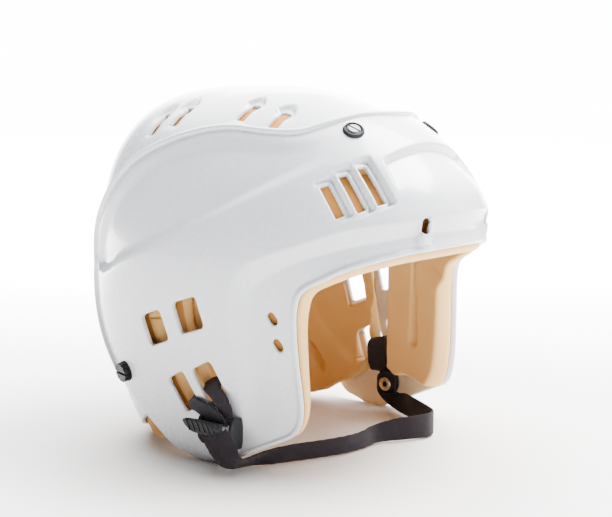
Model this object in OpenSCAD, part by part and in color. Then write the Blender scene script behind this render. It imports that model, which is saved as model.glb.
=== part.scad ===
// Two-shell ice hockey player's helmet, shown on its own: front shell, sliding rear shell, foam liner
// in two pieces, four adjusting screws with washers and nuts, chin strap with its buckle and snap.
// Millimetres, +Z up, the face opening looks to -Y, the wearer's right side is -X.
// The skin of the helmet is one formula in two angles: om runs round the head (0 at the face, 90 at the
// ear, 180 at the nape, negative on the wearer's right), v runs from the floor (-90) over the widest
// level (0) to the crown (90).

/* [Shell size] */

// Half width of the helmet at its widest level
half_w = 106; // [103:0.5:109]
// From the middle of the skin to the brow
reach_front = 151; // [147:0.5:155]
// From the middle of the skin to the back of the head
reach_rear = 110; // [106:0.5:114]
// Height of the widest level above the floor
waist_z = 112; // [110:0.5:114]
// Rise of the dome above the widest level
dome_h = 112; // [109:0.5:115]
// Wall thickness of the two plastic shells
shell_t = 3; // [2.4:0.1:3.4]
// Free play between the two shells
shell_gap = 1; // [0.8:0.1:1.2]

/* [Relief] */

// Depth of the panel that is let in beside the face opening
panel_depth = 4; // [2:0.25:4.5]
// Height of the raised lip along the edges of the front shell
lip_h = 1.2; // [0.4:0.1:1.6]
// Depth of the flat that is let in above the brow
brow_flat = 2; // [0:0.25:3]

/* [Windows and vents] */

// Corner radius of the ear windows
window_r = 2.5; // [1:0.25:3]
// Width of the forehead vents
vent_w = 4.6; // [3:0.2:5.4]
// Width of the slots in the crown
crown_slot_w = 5.6; // [4:0.2:7]

/* [Liner] */

// Thickness of the forehead and temple foam
front_foam_t = 11; // [8:0.5:12]
// Thickness of the crown and nape foam
rear_foam_t = 10; // [7:0.5:11]

/* [Adjustment] */

// How far the rear shell slides forward when the helmet is made small
travel = 8; // [5:0.5:8]
// Diameter of the screw shanks
screw_d = 4; // [3.5:0.1:4.4]
// Diameter of the four washers
washer_d = 12.6; // [11.5:0.1:13.5]

/* [Webbing and buckle] */

// Width of the strap webbing
web_w = 15; // [13:0.5:16]
// Thickness of the strap webbing
web_t = 1.5; // [1.2:0.1:1.8]
// Length of the buckle frame
buckle_len = 27; // [26:0.5:28]

/* [Hidden] */

$fn = 48;
eps = 0.01;

// Skin constants, found by fitting the formula to the outline in the photograph
mid_y = 19;
squash_bottom = 0.82;
tuck_rear = 0.6;
lean = 0.05;
p_waist = 2.17;
p_floor = 2.5;
q_front = 2.2;
q_side = 2.05;
q_rear = 3.1;

// Slide of the rear body: forward and a little down
slide_dir = [0, -0.966, -0.259];
rear_off = -(shell_t + shell_gap);
joggle = 0.5 * travel;
rear_in = rear_off - shell_t;
foam_rear_out = rear_in - 1.3;
foam_rear_in = foam_rear_out - rear_foam_t;
foam_front_out = -(shell_t + 0.9);
foam_front_in = foam_front_out - front_foam_t;
foam_step = foam_front_in - 0.5;
// Flat seats of the washers, cut a little into the skin
seat = -0.4;
// Room under the rear shell for the side nut, which the shell nears as it slides forward
side_room = 2.4 + 0.29 * travel;

function clamp01(x) = max(0, min(1, x));
function mix(a, b, t) = a + (b - a) * t;
function sgn(x) = x < 0 ? -1 : 1;
function unit(v) = v / norm(v);
function ease(x) = let (t = clamp01(x)) t * t * (3 - 2 * t);
// Reading a list at a fractional index, smoothly
function at(l, i) = l[max(0, min(len(l) - 1, i))];
function curve(l, s) =
    let (i = min(floor(s), len(l) - 2), t = s - i,
        a = at(l, i - 1), b = at(l, i), c = at(l, i + 1), d = at(l, i + 2))
    0.5 * (2 * b + (c - a) * t + (2 * a - 5 * b + 4 * c - d) * t * t + (3 * b - a - 3 * c + d) * t * t * t);

// Half width, front reach, rear reach and roundness of the level z0
function level(z0, off) =
    let (dn = clamp01((waist_z - z0) / waist_z))
    [(half_w + off) * (1 - (1 - squash_bottom) * dn * dn),
        (reach_front + off) * (1 - 0.02 * dn * dn),
        (reach_rear + off) * (1 - (1 - tuck_rear) * pow(dn, 2.2)),
        p_waist + (p_floor - p_waist) * dn];

// Point of the skin at the angles om and v, moved out by off
function skin(om, v, off = 0) =
    let (z0 = waist_z + min(v, 0) * waist_z / 90, s = level(z0, off),
        ex = pow(abs(sin(om)), 2 / s[3]), ey = pow(abs(cos(om)), 2 / s[3]),
        k = ex * ex / (ex * ex + ey * ey),
        q = cos(om) > 0 ? q_front + (q_side - q_front) * k : q_rear + (q_side - q_rear) * k,
        e = max(v, 0), ce = pow(cos(e), 2 / q), se = pow(sin(e), 2 / q), up = (dome_h + off) * se)
    [sgn(om) * s[0] * ex * ce,
        mid_y + lean * up - sgn(cos(om)) * (cos(om) > 0 ? s[1] : s[2]) * ey * ce,
        z0 + up];

function normal(om, v) =
    let (a = skin(om + 0.5, v) - skin(om - 0.5, v), b = skin(om, v + 0.5) - skin(om, v - 0.5))
    unit(cross(b, a));
function outward(om, v) =
    let (n = normal(om, v), c = skin(om, v) - [0, mid_y, waist_z - 20])
    n * sgn(n * c);

// Places its children on the skin: local Z is the outward normal, local X runs along it towards dir
module on_skin(om, v, off = 0, dir = [0, -1, 0]) {
    n = outward(om, v);
    p = skin(om, v) + off * n;
    x = unit(dir - n * (n * dir));
    y = cross(n, x);
    multmatrix([[x[0], y[0], n[0], p[0]], [x[1], y[1], n[1], p[1]], [x[2], y[2], n[2], p[2]], [0, 0, 0, 1]])
        children();
}

// Closed wall between an outer and an inner grid of points, both rows by columns
function grid_faces(r, c, o) = [for (i = [0 : r - 2]) for (j = [0 : c - 2])
    for (f = i < (r - 1) / 2 ? [[0, 1, c], [1, c + 1, c]] : [[0, 1, c + 1], [0, c + 1, c]])
        [for (k = f) o + i * c + j + k]];
function flip(fs) = [for (f = fs) [f[2], f[1], f[0]]];
module wall(outer, inner) {
    r = len(outer);
    c = len(outer[0]);
    n = r * c;
    pts = concat([for (row = outer) for (p = row) p], [for (row = inner) for (p = row) p]);
    ring = concat([for (j = [0 : c - 1]) j], [for (i = [1 : r - 1]) i * c + c - 1],
        [for (j = [c - 2 : -1 : 0]) (r - 1) * c + j], [for (i = [r - 2 : -1 : 1]) i * c]);
    m = len(ring);
    rim = [for (k = [0 : m - 1]) let (a = ring[k], b = ring[(k + 1) % m])
        for (f = [[a, a + n, b + n], [a, b + n, b]]) f];
    polyhedron(pts, concat(flip(grid_faces(r, c, 0)), grid_faces(r, c, n), flip(rim)));
}

// Closed bowl: like a wall, but the columns run all the way round and the last row closes at the crown
module bowl(outer, inner) {
    r = len(outer);
    c = len(outer[0]);
    n = r * c;
    po = 2 * n;
    pi = 2 * n + 1;
    pts = concat([for (row = outer) for (p = row) p], [for (row = inner) for (p = row) p],
        [skin_mean(outer[r - 1]), skin_mean(inner[r - 1])]);
    side = [for (i = [0 : r - 2]) for (j = [0 : c - 1]) let (k = (j + 1) % c)
        for (f = j < c / 2 ? [[j, k, k + c], [j, k + c, j + c]] : [[j, k, j + c], [k, k + c, j + c]])
            [for (m = f) m + i * c]];
    cap = [for (j = [0 : c - 1]) [(r - 1) * c + j, (r - 1) * c + (j + 1) % c, po]];
    rim = [for (j = [0 : c - 1]) let (k = (j + 1) % c)
        for (f = [[j, j + n, k + n], [j, k + n, k]]) f];
    side_in = [for (f = side) [for (k = f) k + n]];
    cap_in = [for (f = cap) [f[0] + n, f[1] + n, pi]];
    polyhedron(pts, concat(flip(concat(side, cap)), side_in, cap_in, flip(rim)));
}
function skin_mean(l, i = 0) = i >= len(l) ? [0, 0, 0] : l[i] / len(l) + skin_mean(l, i + 1);

// Flat strap between two lists of edge points
module ribbon(ea, eb, t = web_t) {
    n = len(ea);
    dir = [for (i = [0 : n - 1]) let (a = max(0, i - 1), b = min(n - 1, i + 1))
        unit((ea[b] + eb[b]) - (ea[a] + eb[a]))];
    nrm = [for (i = [0 : n - 1]) unit(cross(eb[i] - ea[i], dir[i])) * t / 2];
    pts = [for (i = [0 : n - 1])
        for (p = [ea[i] + nrm[i], eb[i] + nrm[i], eb[i] - nrm[i], ea[i] - nrm[i]]) p];
    body = [for (i = [0 : n - 2]) for (k = [0 : 3]) let (a = 4 * i + k, b = 4 * i + (k + 1) % 4)
        for (f = [[a, b, b + 4], [a, b + 4, a + 4]]) f];
    ends = [[0, 3, 2], [0, 2, 1], [4 * n - 4, 4 * n - 3, 4 * n - 2], [4 * n - 4, 4 * n - 2, 4 * n - 1]];
    polyhedron(pts, concat(body, ends));
}

// Front shell

// Each station is a line over the shell: edge, foot of the step, top of the step, middle, seam,
// and the share of the step that it carries
STATIONS = [
    [[0, 7.3], [0, 12], [0, 16.5], [0, 34], [0, 52.5], 1.6],
    [[13, 7], [13, 11.8], [13, 16.3], [13, 34], [13, 52.5], 1.55],
    [[26, 6], [26, 11], [26, 15.3], [25, 33], [24, 51.8], 1.35],
    [[40, 3.2], [41, 9], [41, 13.6], [40, 31], [38, 48.7], 1.1],
    [[49, -0.3], [53, 5.8], [53, 10], [51, 27], [50, 45.5], 1],
    [[54, -5], [62, 1.6], [63.5, 6], [62, 26], [60, 45.8], 1],
    [[55.8, -13], [66.5, -4], [70, 1], [74, 24], [75, 47.7], 1],
    [[56.3, -24], [67.4, -15], [72, -11], [82, 18], [88, 45], 1],
    [[56.3, -38], [68, -33], [72.3, -30], [92, 8], [104, 36.5], 1],
    [[56.2, -52], [68.2, -48], [72.5, -46], [100, -6], [113.5, 26], 1],
    [[56.8, -62], [68.6, -58], [72.6, -59], [104, -20], [121, 15], 1],
    [[59.5, -69.5], [69.6, -66], [73, -67.5], [105, -34], [129, 2], 0.7],
    [[65, -74], [72, -72], [76, -72], [104, -46], [130.5, -14], 0.2],
    [[70.5, -78.5], [75, -77], [79, -76], [102, -54], [128, -28], 0],
    [[76, -84], [80, -82], [84, -80], [102, -62], [122, -41], 0],
    [[82.7, -90], [88, -90], [93, -84.5], [103.5, -70], [112.5, -56], 0]];
SHELL_ROWS = [0, 0.2, 0.34, 1, 2, 2.4, 2.8, 3.2, 3.6, 3.82, 3.9, 4];

// Chart point and step share of station s at row value t
function line_at(s) = [for (k = [0 : 4]) curve([for (st = STATIONS) st[k]], s)];
function chart(s, t) =
    let (l = line_at(s), i = min(floor(t), 3)) mix(l[i], l[i + 1], t - i);
function share(s) = curve([for (st = STATIONS) st[5]], s);
// Step down towards the opening, raised lips at both edges, flat above the brow
function step_at(s, t) = -panel_depth * max(0, share(s)) * (1 - clamp01(t - 1));
function lip_at(s, t) = (t <= 0.21 || t >= 3.89) ? lip_h : 0;
function flat_at(om, v) = -brow_flat * ease((46 - abs(om)) / 14) * ease((v - 18) / 5) * ease((36 - v) / 8);
function shell_off(s, t) = let (c = chart(s, t)) step_at(s, t) + lip_at(s, t) + flat_at(c[0], c[1]);

SUB = 2;
S_MAX = (len(STATIONS) - 1) * SUB;
function shell_grid(extra) = [for (j = [-S_MAX : S_MAX]) let (s = abs(j) / SUB)
    [for (t = SHELL_ROWS) let (c = chart(s, t))
        skin(sgn(j) * c[0], c[1], shell_off(s, t) + extra - (extra < 0 ? lip_at(s, t) : 0))]];

// Ear windows: chart place, width, height, lean
WINDOWS = [[90.4, -26.2, 13.5, 18.5, 20], [82.2, -18.1, 14.5, 18.5, 18],
    [85.7, -55.4, 9.5, 22, 28], [79.2, -48.6, 12.5, 21, 26]];
// Forehead vents: chart place, length
VENTS = [[44.5, 21.8, 20.5], [38.4, 24.1, 24], [31.9, 26.2, 25]];
// Mounting slots for a face guard at the temples: chart place of their middle, distance, width, length
TEMPLE = [61.2, -23];
temple_gap = 14.8;
temple_w = 3.6;
temple_l = 7.5;
// Brow slot: chart place
BROW = [17.5, 13.8];
TOP = [29.6, 44.8];
SIDE = [108, -51.5];

module rounded(w, h, r) {
    polygon([for (c = [[1, 1, 0], [-1, 1, 90], [-1, -1, 180], [1, -1, 270]]) for (a = [0 : 30 : 90])
        [c[0] * (w / 2 - r) + r * cos(c[2] + a), c[1] * (h / 2 - r) + r * sin(c[2] + a)]]);
}
// Window cutter, straight through the side along X; grow widens it
module window_cut(w, side, grow = 0, depth = 60) {
    p = skin(w[0], w[1]);
    translate([side * (p[0] + 15 - depth / 2), p[1], p[2]])
        rotate([-w[4], 0, 0])
            rotate([90, 0, 90])
                translate([0, 0, -depth / 2])
                    linear_extrude(depth)
                        rounded(w[2] + grow, w[3] + grow, min(window_r, (w[2] + grow) / 2 - 0.5));
}
module temple_cut(side, k, grow = 0) {
    p = skin(TEMPLE[0], TEMPLE[1]);
    translate([side * p[0], p[1], p[2] + k * temple_gap / 2])
        rotate([0, 90, 0])
            rotate([0, 0, 180])
                translate([-(temple_l - temple_w) / 2, 0, 0])
                    stadium(temple_l - temple_w, temple_w + grow, 40);
}
module vent_cut(v, side) {
    on_skin(side * v[0], v[1], 0, [0, -0.55, -0.84])
        translate([-v[2] / 2, -vent_w / 2, -shell_t - 4])
            cube([v[2], vent_w, shell_t + 8]);
}
module stadium(length, d, h) {
    cylinder(d = d, h = h, center = true);
    translate([length, 0, 0])
        cylinder(d = d, h = h, center = true);
    translate([0, -d / 2, -h / 2])
        cube([length, d, h]);
}
// Slot that lets the rear body slide past a screw that is fixed in the front shell
module travel_slot(om, v, d, deep, high) {
    n = outward(om, v);
    x = unit([0, -1, 0] - n * (n * [0, -1, 0]));
    y = cross(n, x);
    t = -slide_dir * travel;
    on_skin(om, v, (high - deep) / 2)
        rotate([0, 0, atan2(t * y, t * x)])
            stadium(norm([t * x, t * y]), d, high + deep);
}

module front_shell() {
    color("white")
        difference() {
            wall(shell_grid(0), shell_grid(-shell_t));
            for (side = [-1, 1]) {
                for (w = WINDOWS)
                    window_cut(w, side);
                for (v = VENTS)
                    vent_cut(v, side);
                for (k = [-1, 1])
                    temple_cut(side, k);
                on_skin(side * BROW[0], BROW[1], 0, [0, 0, -1])
                    cube([9, 4.6, 24], center = true);
                for (h = [TOP, SIDE]) {
                    on_skin(side * h[0], h[1], -8)
                        cylinder(d = screw_d + 0.8, h = 16);
                    on_skin(side * h[0], h[1], seat)
                        cylinder(d = washer_d + 0.8, h = 8);
                }
            }
        }
}

// Rear shell

// Edge of the rear shell: the chart points that its columns run to
REAR_EDGE = [[0, 40.5], [12, 40.5], [24, 40], [38, 37.5], [50, 36.5], [60, 37], [75, 38.5], [85, 37],
    [92, 31], [96, 22], [99, 10], [101, -5], [102, -20], [102.6, -35], [103.2, -50], [104, -63],
    [106.5, -73.5], [112, -77], [120, -81], [130, -84.5], [142, -87.5], [156, -90], [168, -90], [180, -90]];
REAR_ROWS = [0, 0.06, 0.15, 0.25, 0.35, 0.45, 0.55, 0.65, 0.75, 0.85, 0.93];
FOAM_ROWS = [0, 0.1, 0.22, 0.34, 0.46, 0.58, 0.7, 0.81, 0.91];
RING_V = 88;

// One column of a bowl: from the edge point to a ring close to the crown
function bowl_col(edge, k, n, t) =
    let (e = edge[k], ring_om = 180 * k / (n - 1), u = 1 - pow(1 - t, 1.15))
    [mix(e[0], ring_om, u), mix(e[1], RING_V, u)];
function joggle_at(om, v) = -joggle * clamp01((70 - v) / 28) * max(0, cos(om)) * (v > 0 ? 1 : 0);
function bowl_grid(edge, rows, off) = let (n = len(edge))
    [for (t = rows) [for (j = [0 : 2 * n - 3])
        let (k = j < n ? j : 2 * n - 2 - j, side = j < n ? 1 : -1, c = bowl_col(edge, k, n, t))
            skin(side * max(c[0], 0), c[1], off + joggle_at(c[0], c[1]))]];

// Crown slots: place behind the middle of the skin, inner and outer distance from the middle line
CROWN = [[-47.5, 43, 59], [-24, 43, 59], [23.5, 50, 66], [38.5, 55, 70]];

module rear_shell() {
    color("whitesmoke")
        difference() {
            bowl(bowl_grid(REAR_EDGE, REAR_ROWS, rear_off), bowl_grid(REAR_EDGE, REAR_ROWS, rear_in));
            for (side = [-1, 1]) {
                travel_slot(side * TOP[0], TOP[1], 7.2, 16, 4);
                travel_slot(side * SIDE[0], SIDE[1], 7.2, 12, 4);
                for (c = CROWN)
                    translate([side * (c[1] + c[2]) / 2 * half_w / 106, mid_y + c[0], waist_z + 60])
                        linear_extrude(dome_h)
                            rounded(c[2] - c[1], crown_slot_w, crown_slot_w / 2 - 0.4);
            }
        }
}

// Foam

// Forehead and temple foam: last row of each station that it covers
FOAM_END = [3, 3, 2.95, 2.95, 2.95, 2.95, 2.4, 2.3, 2.19, 2.13, 2.11, 2.08];
FOAM_LAST = 11;
function foam_rows(e, t1) = [0.3, 0.65, 1, t1, mix(t1, 2.06, 0.5), max(2.06, mix(t1, e, 0.5)), e];
module front_liner() {
    steps = 22;
    sides = [for (j = [-steps : steps]) j < 0 ? -1 : 1];
    cols = [for (j = [-steps : steps]) FOAM_LAST * abs(j) / steps];
    outer = [for (j = [0 : 2 * steps])
        let (s = cols[j], tem = ease((s - 5.6) / 0.8), t1 = mix(1.5, 1.06, tem))
        [for (t = foam_rows(curve(FOAM_END, s), t1))
            let (c = chart(s, t), under = panel_depth * max(0, share(s)) * (t < 2.2 ? 1 : 0),
                out = foam_front_out - under + 2.6 * flat_at(c[0], c[1]),
                cut = t > 1.01 ? foam_step : foam_front_out)
                skin(sides[j] * c[0], c[1], mix(out, min(out, cut), tem))]];
    inner = [for (j = [0 : 2 * steps])
        let (s = cols[j], tem = ease((s - 5.6) / 0.8), t1 = mix(1.5, 1.06, tem))
        [for (t = foam_rows(curve(FOAM_END, s), t1)) let (c = chart(s, t))
            skin(sides[j] * c[0], c[1], foam_front_in - mix(panel_depth * 0.6, 7, tem))]];
    color("tan")
        difference() {
            wall(outer, inner);
            for (side = [-1, 1])
                for (k = [-1, 1])
                    temple_cut(side, k, 1);
        }
}

// Edge of the crown and nape foam, then the rows of its grid
FOAM_EDGE = [[0, 54], [13, 53.5], [27, 52.5], [40, 51], [52, 48.5], [62, 45], [69, 38], [75, 26],
    [80, 12], [83.5, 0], [85, -12], [84.6, -25], [83, -40], [82, -52], [82.4, -62], [85, -69],
    [90, -76], [97, -81], [106, -83], [117, -84], [130, -85.5], [147, -87.5], [164, -88], [180, -88]];
// Notch in the left front edge of the foam: the left loop passes there, and the foam slides past it
module strap_notch() {
    low = skin(LOOP_L[5][0], LOOP_L[5][1])[2] - 1;
    high = skin(LOOP_L[10][2], LOOP_L[10][3])[2] + 1 - slide_dir[2] * travel;
    front = skin(WINDOWS[3][0], WINDOWS[3][1])[1] - WINDOWS[3][2] / 2;
    rear = skin(LOOP_L[3][2], LOOP_L[3][3], LOOP_L[3][4])[1] + web_t + travel;
    translate([half_w / 2, 0, 0])
        rotate([90, 0, 90])
            linear_extrude(half_w)
                polygon([[front, low], [rear - 3, low], [rear + 0.5, high - 7], [rear + 0.5, high],
                    [front, high]]);
}
module rear_liner() {
    color("burlywood")
        difference() {
            bowl(bowl_grid(FOAM_EDGE, FOAM_ROWS, foam_rear_out),
                bowl_grid(FOAM_EDGE, FOAM_ROWS, foam_rear_in));
            for (side = [-1, 1]) {
                window_cut(WINDOWS[0], side, 1, 90);
                window_cut(WINDOWS[2], side, 1, 90);
                travel_slot(side * SIDE[0], SIDE[1], 19, 14.5, 4);
            }
            strap_notch();
        }
}

// Fasteners

// Screw with a slotted pan head, shank down through both shells into the nut
module top_screw(side) {
    on_skin(side * TOP[0], TOP[1], seat - 0.6) {
        difference() {
            union() {
                translate([0, 0, 1.3])
                    cylinder(d = 8.4, h = 0.9);
                translate([0, 0, 2.2])
                    cylinder(d1 = 8.4, d2 = 6.4, h = 0.8);
            }
            translate([-5, -0.6, 2.1])
                cube([10, 1.2, 2]);
        }
        translate([0, 0, -shell_t - shell_gap - 10])
            cylinder(d = screw_d, h = shell_t + shell_gap + 11.4);
    }
}
module top_washer(side) {
    on_skin(side * TOP[0], TOP[1], seat + 0.02)
        rotate_extrude()
            polygon([[screw_d / 2 + 0.25, 0], [washer_d / 2, 0], [washer_d / 2, 0.9],
                [washer_d / 2 - 0.7, 2.1], [4.9, 2.1], [4.5, 0.66], [screw_d / 2 + 0.25, 0.66]]);
}
// Nut with a flange that holds the rear shell up and a barrel that fills the slot
module flange_nut(top, bottom) {
    difference() {
        union() {
            translate([0, 0, bottom])
                cylinder(d = 16, h = 1.6);
            translate([0, 0, bottom + 1.5])
                cylinder(d = 6.6, h = top - bottom - 1.5);
        }
        translate([0, 0, bottom - 1])
            cylinder(d = screw_d + 0.02, h = top - bottom + 4);
    }
}
module top_nut(side) {
    on_skin(side * TOP[0], TOP[1])
        flange_nut(-shell_t - 0.6, -shell_t - shell_gap - 8.9);
}
module side_screw(side) {
    on_skin(side * SIDE[0], SIDE[1], seat - 0.65) {
        difference() {
            translate([0, 0, 1.7])
                cylinder(d = washer_d - 0.6, h = 3.6);
            for (a = [0 : 30 : 330])
                rotate([0, 0, a])
                    translate([(washer_d - 0.6) / 2 + 0.35, 0, 1])
                        cylinder(d = 1.9, h = 6, $fn = 16);
            translate([-5.5, -0.8, 3.9])
                cube([11, 1.6, 2]);
        }
        translate([0, 0, -2 * shell_t - shell_gap - side_room])
            cylinder(d = screw_d, h = 2 * shell_t + shell_gap + side_room + 1.8);
    }
}
module side_washer(side) {
    on_skin(side * SIDE[0], SIDE[1], seat + 0.02)
        difference() {
            cylinder(d = washer_d, h = 1);
            translate([0, 0, -1])
                cylinder(d = screw_d + 0.5, h = 4);
        }
}
module side_nut(side) {
    on_skin(side * SIDE[0], SIDE[1])
        flange_nut(-shell_t - 0.6, -2 * shell_t - shell_gap - side_room);
}

// Webbing

// Right loop: up outside the shell, in through the front lower window, behind the bar between the two
// lower windows, out of the other one and down again. Chart place of the rear and front edge, distance
LOOP_R = [[81.4, -73, 74, -72, 3.2], [80.8, -67, 74.2, -65.5, 2.8], [79.8, -62.4, 75, -59.5, 2.3],
    [78.6, -58.6, 75.9, -54.8, 1.8], [78.7, -55.6, 76, -51.7, 0.9], [78.8, -54.6, 76.2, -50.8, -2.5],
    [79.2, -54, 76.6, -50, -5.1], [80.4, -55, 78.6, -46.5, -5.3], [82.5, -55.5, 83.2, -46.5, -5.3],
    [85.2, -57.5, 86.2, -49.5, -5.2], [86, -61, 84.6, -56.5, -4.8], [85.3, -62.3, 83.3, -58.9, -1.8],
    [85.3, -66, 83, -62.6, 1.6], [84.8, -68.3, 81.4, -65, 4], [83.4, -71, 76.8, -69, 5.2],
    [82, -74, 74.6, -73.5, 5.4]];
// Left loop: a band round the same bar, lower and upper edge, inside the foam
LOOP_L = [[82.4, -56, 83.2, -47, 1.3], [84.2, -57.5, 86, -48.5, 0.6], [84.9, -57.5, 86.7, -49.5, -6],
    [84.9, -58, 86.7, -50.5, -17.5], [84, -59, 85.8, -50.5, -20.6], [82, -60, 83, -50, -21.4],
    [79.4, -59, 80, -49.5, -20.8], [77.8, -55.8, 78.4, -48.4, -14], [77.4, -54.5, 78.6, -46.5, -4],
    [78.4, -54.5, 80, -46, 0.8], [81.6, -55.5, 82.6, -46.5, 3.1]];
// Left tab: front and rear edge, from under the snap up to the loop
TAB_FRONT = [[77.3, -28.5, 13], [77.3, -28.5, 20], [77.3, -26.5, 26], [76.4, -20, 31],
    [75.4, -18, 40], [75.2, -17, 44]];
TAB_REAR = [[77.3, -14, 13], [77.3, -14, 20], [77.3, -12, 26], [76.4, -5.5, 31],
    [75.4, -3.5, 40], [75.2, -2.5, 44]];
module strap_loop(side, l) {
    color("#1c1a1c")
        ribbon([for (e = l) skin(side * e[0], e[1], e[4])], [for (e = l) skin(side * e[2], e[3], e[4])]);
}
module left_tab() {
    color("#1c1a1c")
        difference() {
            ribbon(TAB_FRONT, TAB_REAR);
            translate(SNAP)
                rotate([0, 90, 0])
                    cylinder(d = 3, h = 20, center = true);
        }
}

// Middle of the buckle and its turn about X and Z
B_AT = [-102.4, -21.5, 21];
B_TILT = [0, -11, 0];
module in_buckle() {
    translate(B_AT)
        rotate(B_TILT)
            children();
}
// Buckle frame: two cheeks and three bars; local -X is outward, Y across, Z along the strap
fr_w = web_w + 5;
fr_t = 5;
bar = 2.5;
pin_x = -1.2;
pin_z = buckle_len / 2 - bar - 3.2;
rib_step = (fr_w - 2) / 5;
module across(d, w) {
    rotate([-90, 0, 0])
        translate([0, 0, -w / 2])
            cylinder(d = d, h = w);
}
module buckle_frame() {
    color("#151515")
        in_buckle()
            difference() {
                translate([-fr_t / 2, -fr_w / 2, -buckle_len / 2])
                    cube([fr_t, fr_w, buckle_len]);
                translate([-fr_t, -fr_w / 2 + 2, -buckle_len / 2 + bar])
                    cube([fr_t * 2, fr_w - 4, buckle_len / 2 - bar - 1]);
                translate([-fr_t, -fr_w / 2 + 2, 1.5])
                    cube([fr_t * 2, fr_w - 4, buckle_len / 2 - bar - 1.5]);
                translate([pin_x, 0, pin_z])
                    across(2.4, 2 * fr_w);
            }
}
module buckle_pin() {
    color("silver")
        in_buckle()
            translate([pin_x, 0, pin_z])
                across(2.2, fr_w + 0.8);
}
// Cam lever: an eye round the pin, a neck and a ribbed thumb plate that lies over the frame
module buckle_lever() {
    color("#1d1d1f")
        in_buckle()
            translate([pin_x, 0, pin_z])
                difference() {
                    union() {
                        across(5.6, fr_w - 4.8);
                        translate([-5.2, -fr_w / 2 + 2.4, -6])
                            cube([3.9, fr_w - 4.8, 3.8]);
                        translate([-2.9, -fr_w / 2 + 2.4, -6])
                            cube([1.8, fr_w - 4.8, 6]);
                        translate([-5.2, -fr_w / 2 - 1, -13])
                            cube([3.4, fr_w + 2, 10]);
                        for (i = [-2 : 2])
                            translate([-5.2, rib_step * i, -12.4])
                                cylinder(d = 1.4, h = 8.8);
                    }
                    across(2.4, 2 * fr_w);
                }
}

// Chin strap: lower edge and upper edge, from the buckle round over the floor to the snap
CHIN_LOW = [[-100.1, -14, 27], [-98.8, -13.5, 20], [-97.4, -13, 14], [-95.2, -12.5, 8],
    [-91, -14, 1.7], [-86, -17.5, 1], [-80, -30, 1], [-70, -38.5, 1], [-57, -45.5, 1],
    [-43, -52.5, 1], [-28, -58.5, 1], [-12, -61.5, 1], [2, -61.5, 1], [13, -66.5, 1], [24, -74.5, 1],
    [34, -79, 1], [43, -77, 1], [50, -69.5, 1], [57, -59.5, 1], [64, -48.5, 1], [71, -36.5, 1],
    [76, -27.5, 1.5], [77.5, -20.5, 4], [75.2, -16, 9], [73, -14.2, 14], [73, -14, 19.5],
    [73, -14, 25.5]];
CHIN_UP = [[-100.1, -29, 27], [-98.8, -28.5, 20], [-97.4, -28, 14.5], [-95.4, -27.5, 9.5],
    [-91, -29, 6.6], [-84.5, -32.5, 7], [-77, -37.5, 10], [-67, -42.5, 11.5], [-54.5, -48.5, 12],
    [-41, -55, 12], [-27, -60, 12], [-12, -60.5, 11.5], [3, -59, 12], [14, -66, 14.5],
    [24, -74.5, 15.8], [34, -79, 16], [43, -77, 16], [50, -69.5, 16], [57, -59.5, 16],
    [64, -48.5, 16], [71.8, -38.5, 15.3], [74.3, -33.2, 14.4],
    [75, -30.9, 13.9], [74.2, -29.7, 14.3],
    [73, -29.2, 15], [73, -29, 20], [73, -29, 25.5]];
module chin_strap() {
    color("#1c1a1c")
        difference() {
            ribbon(CHIN_LOW, CHIN_UP);
            translate(SNAP)
                rotate([0, 90, 0])
                    cylinder(d = 3.4, h = 20, center = true);
        }
}

// Snap: eyelet and stud on the chin strap, socket and cap on the left loop; the axis runs along X
SNAP = [73, -21.5, 19.5];
module snap_at(x) {
    translate([SNAP[0] + x, SNAP[1], SNAP[2]])
        rotate([0, 90, 0])
            children();
}
module snap_eyelet() {
    color("#b09a5a")
        snap_at(-1.75)
            rotate_extrude()
                polygon([[1.1, 0], [3, 0], [4.4, 0.3], [4.6, 0.9], [1.6, 0.9], [1.6, 2.7], [1.1, 2.7]]);
}
module snap_stud() {
    color("#8c8468")
        snap_at(0.8)
            rotate_extrude()
                polygon([[1.7, 0], [4.4, 0], [4.4, 0.5], [2.5, 0.7], [2.2, 1.1],
                    [2.5, 1.8], [2.2, 2.3], [1.7, 2.3]]);
}
module snap_socket() {
    color("#8c8468")
        snap_at(1.5)
            rotate_extrude()
                polygon([[2.7, 0], [5, 0], [5, 2], [0, 2], [0, 1.75], [2.7, 1.75]]);
}
module snap_cap() {
    color("#202020")
        snap_at(5.05)
            cylinder(d1 = 10.5, d2 = 8.5, h = 1.1);
}

front_shell();
rear_shell();
front_liner();
rear_liner();
color("silver") top_screw(1);  // top_screw_left
color("silver") top_screw(-1);  // top_screw_right
color("#181818") top_washer(1);  // top_washer_left
color("#181818") top_washer(-1);  // top_washer_right
color("gray") top_nut(1);  // top_nut_left
color("gray") top_nut(-1);  // top_nut_right
color("#181818") side_screw(1);  // side_screw_left
color("#181818") side_screw(-1);  // side_screw_right
color("#222222") side_washer(1);  // side_washer_left
color("#222222") side_washer(-1);  // side_washer_right
color("gray") side_nut(1);  // side_nut_left
color("gray") side_nut(-1);  // side_nut_right
strap_loop(-1, LOOP_R);  // right_strap_loop
buckle_frame();
buckle_pin();
buckle_lever();
chin_strap();
strap_loop(1, LOOP_L);  // left_strap_loop
left_tab();  // left_strap_tab
snap_cap();
snap_socket();
snap_stud();
snap_eyelet();
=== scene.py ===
import math

import bpy
import numpy as np
from mathutils import Matrix, Vector


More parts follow.
